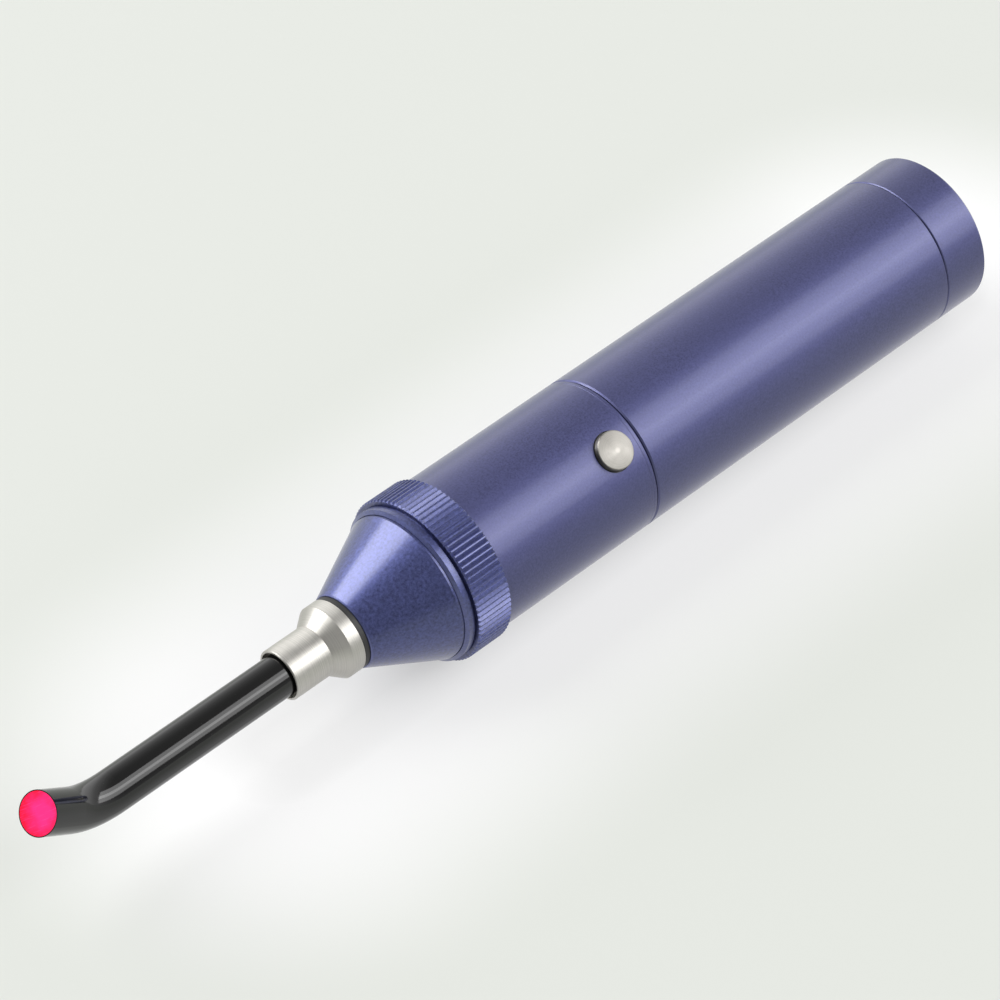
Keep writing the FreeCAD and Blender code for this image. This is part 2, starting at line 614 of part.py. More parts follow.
def coupling_ring():
    """Knurled union ring: it screws onto the head and holds the nose cone's flange."""
    to_station = "- ring_rear"
    body = turned("coupling_ring", "ring_rear", [
        ("0", "ring_mouth"),
        ("0", "knurl_radius - knurl_edge"),
        ("knurl_edge", "knurl_radius"),
        ("bevel_rear " + to_station, "knurl_radius"),
        ("bevel_front " + to_station, "bevel_radius"),
        ("bevel_front " + to_station, "ring_groove_radius"),
        ("ring_groove_front " + to_station, "ring_groove_radius"),
        ("lip_rear " + to_station, "lip_radius"),
        ("lip_front " + to_station, "lip_radius"),
        ("ring_front " + to_station, "ring_lip + lip_edge"),
        ("ring_front " + to_station, "ring_lip"),
        ("lip_shoulder " + to_station, "ring_lip"),
        ("lip_shoulder " + to_station, "ring_chamber"),
        ("chamber_rear " + to_station, "ring_chamber"),
        ("chamber_rear " + to_station, "ring_female_root"),
        ("ring_screw_rear " + to_station, "ring_female_root"),
        ("ring_screw_rear " + to_station, "ring_mouth"),
    ])
    half_pitch = "%.4f" % (SIZE["ring_pitch"] / 2)
    add_thread(body, "ring_screw_start + %s %s" % (half_pitch, to_station),
               "ring_female_root", "ring_female_crest",
               ("ring_ridge_foot", "ring_ridge_top"), "ring_pitch", "ring_travel")
    notch = sketch_on(body, "YZ_Plane")
    outline(notch, [("0 - knurl_half_width", "knurl_radius + fit_gap"),
                    ("0", "knurl_radius - knurl_depth"),
                    ("knurl_half_width", "knurl_radius + fit_gap")])
    groove = cut(body, notch, "bevel_front " + to_station, True)
    knurl = body.newObject("PartDesign::PolarPattern", "knurl")
    knurl.Originals = [groove]
    knurl.Axis = (notch, ["N_Axis"])
    knurl.Angle = 360
    knurl.Occurrences = int(SIZE["knurl_count"])
    knurl.setExpression("Occurrences", "Sizes.knurl_count")
    body.Tip = knurl


def nose_cone():
    """Hollow cone with a flange at the rear and the socket's bore at the front."""
    to_station = "- nose_rear"
    turned("nose_cone", "nose_rear", [
        ("0", "nose_mouth"),
        ("0", "nose_flange"),
        ("lip_shoulder - fit_gap " + to_station, "nose_flange"),
        ("lip_shoulder - fit_gap " + to_station, "nose_neck"),
        ("cone_rear " + to_station, "nose_neck"),
        ("nose_front - tip_chamfer " + to_station, "nose_tip"),
        ("nose_front " + to_station, "nose_tip - tip_chamfer"),
        ("nose_front " + to_station, "nose_bore"),
        ("socket_step " + to_station, "nose_bore"),
        ("socket_step " + to_station, "nose_seat"),
        ("nose_rim", "nose_mouth"),
    ])


def joint_seals():
    """O-rings on the two spigots, and the flat gasket behind the nose flange."""
    for label, shoulder, side in (("cap_oring", "cap_joint", "+"), ("head_oring", "mid_joint", "-")):
        station = "%s %s seal_offset" % (shoulder, side)
        seal_ring(label, station, "seal_middle", "seal_section")
    turned("nose_gasket", "head_front + fit_gap", [
        ("0", "gasket_bore"),
        ("0", "gasket_radius"),
        ("nose_rear - head_front - fit_gap - fit_gap", "gasket_radius"),
        ("nose_rear - head_front - fit_gap - fit_gap", "gasket_bore"),
    ])


# ---------------------------------------------------------------- light guide

def guide_mounting():
    """Socket sleeve in the nose, gasket, O-ring and the steel collar."""
    socket_front = "nose_front - tip_chamfer - socket_rear"
    seat = "socket_step - fit_gap - socket_rear"
    turned("guide_socket", "socket_rear", [
        ("0", "socket_bore + socket_lead"),
        ("socket_lead", "socket_bore"),
        (socket_front, "socket_bore"),
        (socket_front, "nose_bore - fit_gap"),
        (seat, "nose_bore - fit_gap"),
        (seat, "socket_flange_radius"),
        (seat + " - socket_flange", "socket_flange_radius"),
        (seat + " - socket_flange", "nose_bore - fit_gap"),
        ("0", "nose_bore - fit_gap"),
    ])
    turned("guide_gasket", "nose_front + fit_gap", [
        ("0", "guide_gasket_bore"),
        ("0", "guide_gasket_radius"),
        ("flange_rear - nose_front - fit_gap - fit_gap", "guide_gasket_radius"),
        ("flange_rear - nose_front - fit_gap - fit_gap", "guide_gasket_bore"),
    ])
    seal_ring("guide_oring", "guide_seal_station", "guide_seal_middle", "guide_seal_section")
    groove = "guide_seal_station - stem_rear"
    front = "collar_front - stem_rear"
    turned("guide_collar", "stem_rear", [
        ("0", "collar_bore"),
        ("0", "stem_radius - stem_chamfer"),
        ("stem_chamfer", "stem_radius"),
        (groove + " - stem_groove_half", "stem_radius"),
        (groove + " - stem_groove_half", "stem_groove_radius"),
        (groove + " + stem_groove_half", "stem_groove_radius"),
        (groove + " + stem_groove_half", "stem_radius"),
        ("flange_rear - stem_rear", "stem_radius"),
        ("flange_rear - stem_rear", "flange_radius - flange_edge"),
        ("flange_rear - stem_rear + flange_edge", "flange_radius"),
        ("flange_front - stem_rear", "flange_radius"),
        ("neck_station - stem_rear", "stem_radius"),
        (front + " - rim_chamfer", "stem_radius"),
        (front, "stem_radius - rim_chamfer"),
        (front, "rim_bore"),
        (front + " - rim_recess", "rim_bore"),
        (front + " - rim_recess", "collar_bore"),
    ])


def guide_path(body):
    """Path of the light guide: a straight run, one bend and a short straight run."""
    bend = math.radians(SIZE["bend_angle"])
    straight = SIZE["guide_straight"]
    radius = SIZE["bend_radius"]
    bend_end = FreeCAD.Vector(straight + radius * math.sin(bend), radius * (1 - math.cos(bend)), 0)
    heading = FreeCAD.Vector(math.cos(bend), math.sin(bend), 0)
    path = sketch_on(body, "XZ_Plane")
    path.addGeometry(Part.LineSegment(FreeCAD.Vector(), FreeCAD.Vector(straight, 0, 0)))
    circle_of_bend = Part.Circle(FreeCAD.Vector(straight, radius, 0), AXIS_Z, radius)
    path.addGeometry(Part.ArcOfCircle(circle_of_bend, -math.pi / 2, bend - math.pi / 2))
    path.addGeometry(Part.LineSegment(bend_end, bend_end + heading * SIZE["tip_run"]))
    for rule in (("Coincident", 0, 1, -1, 1), ("Horizontal", 0),
                 ("Tangent", 0, 2, 1, 1), ("Tangent", 1, 2, 2, 1)):
        path.addConstraint(Sketcher.Constraint(*rule))
    for kind, edge, alias in (("Distance", 0, "guide_straight"), ("Radius", 1, "bend_radius"),
                              ("Distance", 2, "tip_run")):
        index = path.addConstraint(Sketcher.Constraint(kind, edge, SIZE[alias]))
        path.setExpression("Constraints[%d]" % index, bound(alias))
    index = path.addConstraint(Sketcher.Constraint("Angle", 2, bend))
    path.setExpression("Constraints[%d]" % index, "Sizes.bend_angle * 1 deg")
    return path


def guide_rod(label, radii):
    """Sweep round outlines along the light guide's path."""
    body = new_body(label, "guide_rear", "guide_roll")
    path = guide_path(body)
    section = sketch_on(body, "YZ_Plane")
    for radius in radii:
        circle(section, "0", "0", radius)
    rod = body.newObject("PartDesign::AdditivePipe", label + "_sweep")
    rod.Profile = section
    rod.Spine = path


# ---------------------------------------------------------------- optics and heat sink

WIRE_HOLES = [("0 - wire_offset", "wire_height"), ("wire_offset", "wire_height")]
SCREW_HOLES = [("0 - screw_offset", "0"), ("screw_offset", "0")]
LED_BOARD_REAR = "sink_rear + sink_length + board_gap"


def heat_sink():
    """Aluminium slug pressed into the head; the LED board is screwed to it."""
    body = turned("heat_sink", "sink_rear + fit_gap", [
        ("0", "0"),
        ("0", "sink_recess_radius"),
        ("sink_recess", "sink_recess_radius"),
        ("sink_recess", "sink_bore - fit_gap"),
        ("sink_length", "sink_bore - fit_gap"),
        ("sink_length", "0"),
    ])
    drill(body, WIRE_HOLES, "sink_wire_hole", "sink_length + cavity_clearance")
    drill(body, SCREW_HOLES, "sink_screw_hole", "sink_length + cavity_clearance")


def led_board():
    """Round metal-core board with the LED package and its two screws."""
    body = turned("led_board", LED_BOARD_REAR, [
        ("0", "0"),
        ("0", "led_board_radius"),
        ("board_thickness", "led_board_radius"),
        ("board_thickness", "0"),
    ])
    drill(body, WIRE_HOLES, "board_wire_hole", "board_thickness + cavity_clearance")
    drill(body, SCREW_HOLES, "board_screw_hole", "board_thickness + cavity_clearance")
    swell = "%.4f" % (SIZE["dome_radius"] * math.sqrt(0.5))
    turned("led_emitter", LED_BOARD_REAR + " + board_thickness + solder_gap", [
        ("0", "0"),
        ("package_height + dome_radius", "0"),
        ("package_height", "dome_radius"),
        ("package_height", "package_radius"),
        ("0", "package_radius"),
    ], arc=(1, ("package_height + " + swell, swell)))
    screws = new_body("board_screws", LED_BOARD_REAR + " - screw_rear")
    for across, up in SCREW_HOLES:
        for start, radius, length in (("0", "shank_radius", "screw_shank"),
                                      ("screw_shank", "screw_head_radius", "screw_head")):
            sketch = sketch_on(screws, "YZ_Plane", start)
            circle(sketch, across, up, radius)
            pad(screws, sketch, length)


def optics():
    """Collimating lens and the holder that centres it over the LED."""
    turned("lens_holder", "sink_rear + sink_length + holder_offset", [
        ("0", "holder_bore"),
        ("0", "holder_radius"),
        ("holder_rim", "holder_radius"),
        ("holder_length", "holder_front"),
        ("holder_length", "holder_mouth"),
        ("holder_floor + holder_throat_length", "holder_throat"),
        ("holder_floor", "holder_throat"),
        ("holder_floor", "holder_bore"),
    ])
    turned("lens", "sink_rear + sink_length + lens_offset", [
        ("0", "well_in_lens_radius"),
        ("0", "lens_rear_radius"),
        ("lens_skirt", "lens_rear_radius"),
        ("lens_rim", "lens_radius"),
        ("lens_length", "lens_radius"),
        ("lens_length", "0"),
        ("well_in_lens", "0"),
        ("well_in_lens_edge", "well_in_lens_radius"),
    ])


# ---------------------------------------------------------------- electronics

CONTACT_BOARD = "mid_joint - spigot_length + front_contact_depth"


def boards():
    """Driver board on its carrier, with components and the tactile switch."""
    block("driver_board", "board_rear",
          ("0", "0 - board_half_width", "board_length", "board_half_width"),
          "board_bottom", "board_thickness")
    top = "board_bottom + board_thickness + solder_gap"
    controller = ("16.5", "1.0", "21.5", "5.0")
    charger = ("9.5", "0 - 7.0", "12.1", "0 - 4.5")
    first_capacitor = ("9.5", "2.5", "12.7", "4.1")
    second_capacitor = ("9.5", "5.0", "12.7", "6.6")
    inductor = ("18.5", "0 - 3.4", "2.8")
    components = new_body("board_components", "board_rear")
    for footprint, height in ((controller, "1.4"), (first_capacitor, "1.2"),
                              (second_capacitor, "1.2"), (charger, "1.0")):
        add_block(components, footprint, top, height)
    winding = sketch_on(components, "XY_Plane", top)
    circle(winding, *inductor)
    pad(components, winding, inductor[2])
    switch = block("tact_switch", "button_station",
                   ("0 - switch_half", "0 - switch_half", "switch_half", "switch_half"),
                   top, "switch_height")
    well = sketch_on(switch, "XY_Plane", top + " + well_floor")
    circle(well, "0", "0", "well_radius")
    cut(switch, well, "well_depth", True)
    carrier = new_body("board_carrier", "board_rear")
    trough = sketch_on(carrier, "YZ_Plane")
    circle(trough, "0", "0", "carrier_radius")
    circle(trough, "0", "0", "carrier_bore")
    pad(carrier, trough, "board_length")
    opening = sketch_on(carrier, "XY_Plane", "board_bottom - fit_gap")
    rear, front = "0 - cavity_clearance", "board_length + cavity_clearance"
    outline(opening, [(rear, "0 - carrier_radius"), (front, "0 - carrier_radius"),
                      (front, "carrier_radius"), (rear, "carrier_radius")])
    cut(carrier, opening, "carrier_radius", True)


def wiring():
    """Leads from the front contact board to the driver, and from the driver to the LED."""
    battery_end = CONTACT_BOARD + " + board_thickness + fit_gap"
    rods("battery_leads", battery_end,
         [("0 - lead_offset", "wire_height"), ("lead_offset", "wire_height")], "lead_radius",
         "board_rear - mid_joint + spigot_length - front_contact_depth - board_thickness"
         " - fit_gap - fit_gap")
    rods("led_wires", "board_rear + board_length + fit_gap", WIRE_HOLES, "wire_radius",
         LED_BOARD_REAR + " + board_thickness + wire_stub - board_rear - board_length - fit_gap")


def front_contact():
    """Contact board in the head's spigot, its pin and the ring that locks it."""
    turned("contact_board", CONTACT_BOARD, [
        ("0", "0"),
        ("0", "disc_radius"),
        ("board_thickness", "disc_radius"),
        ("board_thickness", "0"),
    ])
    turned("positive_pin", CONTACT_BOARD + " - pin_gap - pin_length", [
        ("0", "0"),
        ("0", "pin_radius - pin_bevel"),
        ("pin_bevel", "pin_radius"),
        ("pin_length", "pin_radius"),
        ("pin_length", "0"),
    ])
    turned("head_retainer", CONTACT_BOARD + " - fit_gap - head_retainer_length", [
        ("0", "retainer_bore"),
        ("0", "spigot_bore - fit_gap"),
        ("head_retainer_length", "spigot_bore - fit_gap"),
        ("head_retainer_length", "retainer_bore"),
    ])


def push_button():
    """Button cap with its stem, and everything in the hole round it. Profiles are (radius, height)."""
    at = "button_station"
    sleeve_bore = "button_stem + clip_overlap"
    turned("button_cap", at, [
        ("0", "stem_bottom"),
        ("button_stem", "stem_bottom"),
        ("button_stem", "crown_inside"),
        ("skirt_inside", "crown_inside"),
        ("skirt_inside", "skirt_bottom"),
        ("button_radius", "skirt_bottom"),
        ("button_radius", "button_rim - button_edge"),
        ("button_radius - button_edge", "button_rim"),
        ("crown_flat", "button_top"),
        ("0", "button_top"),
    ], "V_Axis", arc=(7, ("%.4f" % (SIZE["button_radius"] / 2), "button_top - crown_fall")))
    turned("switch_plunger", at, [
        ("0", "plunger_bottom"),
        ("plunger_radius", "plunger_bottom"),
        ("plunger_radius", "stem_bottom - fit_gap - plunger_bevel"),
        ("plunger_radius - plunger_bevel", "stem_bottom - fit_gap"),
        ("0", "stem_bottom - fit_gap"),
    ], "V_Axis")
    for label, radius, bottom, top in (
            ("button_clip", "clip_radius", "clip_bottom", "clip_bottom + clip_thickness"),
            ("button_bush", "button_hole - fit_gap", "bush_bottom", "bush_top")):
        turned(label, at, [(sleeve_bore, bottom), (radius, bottom),
                           (radius, top), (sleeve_bore, top)], "V_Axis")
    turned("button_seal", at, [
        ("button_radius + button_seal_gap", "button_seal_bottom"),
        ("button_hole - button_seal_gap", "button_seal_bottom"),
        ("button_hole - button_seal_gap", "button_seal_top"),
        ("button_radius + button_seal_gap", "button_seal_top"),
    ], "V_Axis")
    spring = coil("button_spring", "spring_pitch", "spring_height", "spring_radius", "spring_wire")
    place(spring, at)
    lift = spring.Placement.Rotation.multVec(FreeCAD.Vector(0, 0, SIZE["spring_bottom"]))
    spring.Placement.Base = spring.Placement.Base + lift


# ---------------------------------------------------------------- battery and rear contact

def battery():
    """Rechargeable cell in its wrap, centred in the tube by a plastic sleeve."""
    turned("battery_can", "cell_rear", [
        ("0", "0"),
        ("0", "can_rear_radius"),
        ("can_corner", "cell_radius - can_gap"),
        ("cell_length - crimp_length", "cell_radius - can_gap"),
        ("cell_length - crimp_front", "crimp_radius"),
        ("cell_length - crimp_front", "crimp_bore"),
        ("cell_length - crimp_inside", "crimp_bore"),
        ("cell_length - crimp_inside", "can_bore"),
        ("can_floor", "can_bore"),
        ("can_floor", "0"),
    ])
    turned("battery_core", "cell_rear + core_offset", [
        ("0", "0"),
        ("0", "roll_radius"),
        ("cell_length - core_spare", "roll_radius"),
        ("cell_length - core_spare", "0"),
    ])
    turned("battery_terminal", "cell_rear + cell_length - terminal_height", [
        ("0", "0"),
        ("0", "terminal_flange"),
        ("flange_thickness", "terminal_flange"),
        ("flange_thickness", "button_foot"),
        ("terminal_height - shoulder_height", "button_shoulder"),
        ("terminal_height", "button_face"),
        ("terminal_height", "0"),
    ])
    turned("battery_wrap", "cell_rear + wrap_offset", [
        ("0", "cell_radius - wrap_thickness"),
        ("0", "cell_radius"),
        ("cell_length - wrap_spare", "cell_radius"),
        ("cell_length - wrap_spare", "cell_radius - wrap_thickness"),
    ])
    sleeve_length = "mid_joint - cap_joint - thread_zone - thread_zone - sleeve_gap - sleeve_gap"
    turned("battery_sleeve", "cap_joint + thread_zone + sleeve_gap", [
        ("0", "sleeve_mouth"),
        ("0", "sleeve_radius - sleeve_bevel"),
        ("sleeve_bevel", "sleeve_radius"),
        (sleeve_length + " - sleeve_bevel", "sleeve_radius"),
        (sleeve_length, "sleeve_radius - sleeve_bevel"),
        (sleeve_length, "sleeve_mouth"),
        (sleeve_length + " - sleeve_bevel", "sleeve_bore"),
        ("sleeve_bevel", "sleeve_bore"),
    ])


def rear_contact():
    """Contact disc in the tail cap, its locking ring and the coil that presses on the cell."""
    turned("contact_disc", "rear_disc", [
        ("0", "0"),
        ("0", "disc_radius"),
        ("board_thickness", "disc_radius"),
        ("board_thickness", "0"),
    ])
    turned("cap_retainer", "rear_disc + board_thickness + fit_gap", [
        ("0", "retainer_bore"),
        ("0", "spigot_bore - fit_gap"),
        ("cap_retainer_length", "spigot_bore - fit_gap"),
        ("cap_retainer_length", "retainer_bore"),
    ])
    spring = coil("contact_spring", "contact_pitch", "contact_height", "contact_radius",
                  "contact_wire", "contact_taper")
    forward = FreeCAD.Rotation(FreeCAD.Vector(0, 1, 0), -90)
    spring.Placement = FreeCAD.Placement(FreeCAD.Vector(-SIZE["contact_foot"], 0, 0), forward)
    spring.setExpression("Placement.Base.x", "-(%s)" % bound("contact_foot"))


tail_cap()
battery_tube()
head_housing()
coupling_ring()
nose_cone()
joint_seals()
guide_mounting()
guide_rod("guide_sheath", ("guide_radius", "core_radius + sheath_gap"))
guide_rod("guide_core", ("core_radius",))
heat_sink()
led_board()
optics()
boards()
wiring()
front_contact()
push_button()
battery()
rear_contact()
doc.recompute()

for item in doc.Objects:
    if "Invalid" in item.State or "Error" in item.State:
        sys.exit("%s failed: %s" % (item.Label, item.State))
for piece in parts:
    if piece.Shape.isNull() or not piece.Shape.isValid() or not piece.Shape.Solids:
        sys.exit("%s has no valid solid" % piece.Label)

os.makedirs("parts", exist_ok=True)
for piece in parts:
    piece.Shape.exportStep("parts/%s.step" % piece.Label)
    box = piece.Shape.BoundBox
    print("%-18s solids %d  volume %9.2f  x %7.2f..%7.2f" % (
        piece.Label, len(piece.Shape.Solids), piece.Shape.Volume, box.XMin, box.XMax))
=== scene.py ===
"""Studio picture of a cordless curing light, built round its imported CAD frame. All lengths are metres."""
import json
import math

import bpy
from mathutils import Matrix, Vector


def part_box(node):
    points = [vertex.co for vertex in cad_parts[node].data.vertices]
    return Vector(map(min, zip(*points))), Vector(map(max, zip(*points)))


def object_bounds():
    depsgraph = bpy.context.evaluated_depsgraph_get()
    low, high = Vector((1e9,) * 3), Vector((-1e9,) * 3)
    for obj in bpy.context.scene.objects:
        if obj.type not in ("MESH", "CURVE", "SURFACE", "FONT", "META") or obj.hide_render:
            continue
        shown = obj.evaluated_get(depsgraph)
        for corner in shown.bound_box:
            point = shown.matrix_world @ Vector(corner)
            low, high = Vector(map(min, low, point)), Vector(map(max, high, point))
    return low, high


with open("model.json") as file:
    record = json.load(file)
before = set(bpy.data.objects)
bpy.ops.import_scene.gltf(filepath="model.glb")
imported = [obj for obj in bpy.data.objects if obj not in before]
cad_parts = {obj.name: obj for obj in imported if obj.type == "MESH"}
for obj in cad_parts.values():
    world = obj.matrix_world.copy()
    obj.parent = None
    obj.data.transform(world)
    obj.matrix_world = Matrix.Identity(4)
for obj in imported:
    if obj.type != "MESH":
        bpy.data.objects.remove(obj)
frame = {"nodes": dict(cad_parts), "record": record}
cad_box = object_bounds()
nodes = frame["nodes"]
scene = bpy.context.scene

MM = 0.001
BARREL_AXIS = Vector((1.0, 0.0, 0.0))


# ---------------------------------------------------------------- shader building blocks

def add(tree, kind, inputs=None, **settings):
    """Add a shader node. An input is a value, or another node's output socket."""
    node = tree.nodes.new(kind)
    for name, setting in settings.items():
        setattr(node, name, setting)
    for key, given in (inputs or {}).items():
        if isinstance(given, bpy.types.NodeSocket):
            tree.links.new(given, node.inputs[key])
        else:
            node.inputs[key].default_value = given
    return node


def new_material(name, **sockets):
    """A Principled material; returns it with its tree and shader. Socket names use _ for a space."""
    material = bpy.data.materials.new(name)
    material.use_nodes = True
    tree = material.node_tree
    shader = next(node for node in tree.nodes if node.type == "BSDF_PRINCIPLED")
    for key, setting in sockets.items():
        shader.inputs[key.replace("_", " ")].default_value = setting
    return material, tree, shader


def math_node(tree, operation, *operands):
    """One Math node's result."""
    node = add(tree, "ShaderNodeMath", dict(enumerate(operands)), operation=operation)
    return node.outputs[0]


def hypotenuse(tree, first, second):
    """The length of two perpendicular offsets together."""
    return math_node(tree, "SQRT", math_node(
        tree, "ADD", math_node(tree, "MULTIPLY", first, first), math_node(tree, "MULTIPLY", second, second)))


def object_place(tree):
    """The shading point in the object's own coordinates, which are the row frame's."""
    return add(tree, "ShaderNodeTexCoord").outputs["Object"]


def noise(tree, place, scale, detail=3.0, roughness=0.6):
    """Noise at so many features to the metre."""
    node = add(tree, "ShaderNodeTexNoise",
               {"Vector": place, "Scale": scale, "Detail": detail, "Roughness": roughness})
    return node.outputs["Fac"]


NOISE_CORE = (0.35, 0.65)


def spread(tree, factor, low, high, start=0.3, end=0.7):
    """Map a factor from start..end to low..high. Noise lies mostly between 0.3 and 0.7."""
    node = add(tree, "ShaderNodeMapRange", {
        "Value": factor, "From Min": start, "From Max": end, "To Min": low, "To Max": high})
    return node.outputs["Result"]


# A Mix node's colour sockets come after those for numbers and vectors.
MIX_COLOUR_INPUTS = (6, 7)
MIX_COLOUR_OUTPUT = 2


def blend_colour(tree, factor, first, second):
    """Mix two colours by a factor."""
    node = add(tree, "ShaderNodeMix", data_type="RGBA")
    tree.links.new(factor, node.inputs["Factor"])
    for socket, colour in zip(MIX_COLOUR_INPUTS, (first, second)):
        if isinstance(colour, bpy.types.NodeSocket):
            tree.links.new(colour, node.inputs[socket])
        else:
            node.inputs[socket].default_value = (*colour, 1.0)
    return node.outputs[MIX_COLOUR_OUTPUT]


def shade(colour, factor, lift=0.0):
    """A colour made darker or paler, held below white."""
    return tuple(min(1.0, channel * factor + lift) for channel in colour)


def paint(tree, shader, colour):
    """Give the shader a base colour that varies."""
    tree.links.new(colour, shader.inputs["Base Color"])


def vary_gloss(tree, shader, factor, low, high, *band):
    """Let the shader's roughness follow a factor from low to high."""
    tree.links.new(spread(tree, factor, low, high, *band), shader.inputs["Roughness"])


def roughen(tree, shader, height, strength, distance):
    """Bump the shader's normal by a height."""
    bump = add(tree, "ShaderNodeBump", {"Height": height, "Strength": strength, "Distance": distance})
    tree.links.new(bump.outputs["Normal"], shader.inputs["Normal"])


def vector_value(tree, operation, first, second):
    """The number that a Vector Math node gives."""
    return add(tree, "ShaderNodeVectorMath", {0: first, 1: second}, operation=operation).outputs["Value"]


def ring_noise(tree, distance, lines, detail):
    """Noise along one distance, at so many features to the metre."""
    node = add(tree, "ShaderNodeTexNoise", {"W": distance, "Scale": lines, "Detail": detail,
                                            "Roughness": 0.7}, noise_dimensions="1D")
    return node.outputs["Fac"]


def lathe_coordinate(tree, place):
    """Distance along the barrel plus distance from it, which grows along every turned face."""
    split = add(tree, "ShaderNodeSeparateXYZ", {"Vector": place})
    along = split.outputs["X"]
    across = hypotenuse(tree, split.outputs["Y"], split.outputs["Z"])
    return math_node(tree, "ADD", along, across)


def turning_marks(tree, place, lines):
    """Irregular fine rings left by the lathe, so many to the metre."""
    return ring_noise(tree, lathe_coordinate(tree, place), lines, detail=4.0)


# ---------------------------------------------------------------- materials

BLUE = (0.068, 0.0725, 0.172)
DEEPER_BLUE = (0.058, 0.069, 0.190)
OFF_WALL = (0.5, 0.65)
ONTO_END_FACE = (0.85, 0.95)
TOOL_MARK_DEPTH = 0.02 * MM
SKIN_DEPTH = 0.03 * MM
QUARTER_TURN = 0.25
# Radii over which the button's painted nib highlight fades out.
NIB_HIGHLIGHT_EDGE = (0.25 * MM, 0.7 * MM)
BUTTON_LEAN = math.radians(39.0)
BUTTON_AXIS = (0.0, -math.sin(BUTTON_LEAN), math.cos(BUTTON_LEAN))

SHEATH_BLACK = (0.003, 0.003, 0.003)
DUST_GREY = (0.04, 0.04, 0.04)
# The fibre end's colours below are a painted glow: pink in the middle, red at the rim, paler pink along
# scratches.
FIBRE_PINK = (1.0, 0.03, 0.24)
FIBRE_RED = (0.92, 0.002, 0.03)
FIBRE_UNLIT = (0.2, 0.005, 0.02)
FIBRE_SCRATCH = (1.0, 0.08, 0.34)
FIBRE_BRIGHTEST_OFFSET = Vector((0.0, -0.7, 0.8)) * MM
FIBRE_REDDENING = (1.6 * MM, 4.4 * MM)
FIBRE_EDGE_DRIFT = 0.9 * MM
FIBRE_SCRATCH_DIRECTION = Vector((0.50, -0.65, 0.58))


def anodised(name, colour, grain, depth, roughness, contrast, coat_ior):
    """Bead-blasted, dyed aluminium: fine grain, a soft tone drift, and a painted highlight that makes the
    chamfers paler.

    A chamfer is told by its normal's tilt towards the barrel's axis, between a wall's and an end face's.
    """
    material, tree, shader = new_material(
        name, Metallic=1.0, Coat_Weight=1.0, Coat_Roughness=0.24, Coat_IOR=coat_ior)
    place = object_place(tree)
    blast = noise(tree, place, grain, detail=4.0, roughness=0.65)
    drift = noise(tree, place, scale=45.0, detail=2.0, roughness=0.5)
    speckle = blend_colour(tree, spread(tree, blast, 0.0, 1.0),
                           shade(colour, 1.0 - contrast), shade(colour, 1.0 + contrast))
    toned = blend_colour(tree, spread(tree, drift, 0.0, 0.25, *NOISE_CORE), speckle, shade(colour, 1.1))
    facing = add(tree, "ShaderNodeSeparateXYZ",
                 {"Vector": add(tree, "ShaderNodeNewGeometry").outputs["Normal"]}).outputs["X"]
    tilt = math_node(tree, "ABSOLUTE", facing)
    chamfer = math_node(tree, "MULTIPLY", spread(tree, tilt, 0.0, 1.0, *OFF_WALL),
                        spread(tree, tilt, 1.0, 0.0, *ONTO_END_FACE))
    # Painted highlight: the chamfers are painted paler, more where the tone drift is high.
    edge = math_node(tree, "MULTIPLY", chamfer, spread(tree, drift, 0.15, 0.5))
    paint(tree, shader, blend_colour(tree, edge, toned, shade(colour, 1.6, lift=0.05)))
    vary_gloss(tree, shader, blast, roughness - 0.05, roughness + 0.05)
    roughen(tree, shader, blast, strength=0.35, distance=depth)
    return material


def turned_steel(name, colour, roughness, lines):
    """Satin steel off the lathe, with fine rings that stretch its highlights along the axis."""
    material, tree, shader = new_material(
        name, Metallic=1.0, Anisotropic=0.5, Anisotropic_Rotation=QUARTER_TURN)
    place = object_place(tree)
    rings = turning_marks(tree, place, lines)
    smear = noise(tree, place, scale=220.0)
    paint(tree, shader, blend_colour(tree, spread(tree, rings, 0.0, 1.0),
                                     shade(colour, 0.8), shade(colour, 1.12)))
    vary_gloss(tree, shader, math_node(tree, "ADD", rings, smear),
               roughness - 0.06, roughness + 0.08, 0.7, 1.3)
    tangent = add(tree, "ShaderNodeTangent", direction_type="RADIAL", axis="X")
    tree.links.new(tangent.outputs["Tangent"], shader.inputs["Tangent"])
    roughen(tree, shader, rings, strength=0.35, distance=TOOL_MARK_DEPTH)
    return material


def faced_steel(name, colour, roughness, piece, axis, lines):
    """Steel faced off round a piece's own axis: fine rings, a nib painted paler as a painted highlight, and
    fan-shaped highlights.
    """
    material, tree, shader = new_material(
        name, Metallic=1.0, Anisotropic=0.6, Anisotropic_Rotation=QUARTER_TURN)
    place = object_place(tree)
    low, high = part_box(piece)
    arm = add(tree, "ShaderNodeVectorMath", {0: place, 1: (low + high) / 2}, operation="SUBTRACT")
    from_axis = add(tree, "ShaderNodeVectorMath", {0: arm.outputs["Vector"], 1: axis},
                    operation="CROSS_PRODUCT")
    radius = add(tree, "ShaderNodeVectorMath", {0: from_axis.outputs["Vector"]},
                 operation="LENGTH").outputs["Value"]
    rings = ring_noise(tree, radius, lines, detail=3.0)
    tangent = add(tree, "ShaderNodeVectorMath", {0: from_axis.outputs["Vector"]}, operation="NORMALIZE")
    tree.links.new(tangent.outputs["Vector"], shader.inputs["Tangent"])
    stain = noise(tree, place, scale=500.0)
    ringed = blend_colour(tree, spread(tree, rings, 0.0, 1.0), shade(colour, 0.82), shade(colour, 1.08))
    # Painted highlight: the centre nib is painted paler.
    nib = spread(tree, radius, 1.0, 0.0, *NIB_HIGHLIGHT_EDGE)
    paint(tree, shader, blend_colour(tree, nib, ringed, shade(colour, 1.3)))
    vary_gloss(tree, shader, stain, roughness - 0.06, roughness + 0.06)
    roughen(tree, shader, rings, strength=0.5, distance=TOOL_MARK_DEPTH)
    return material


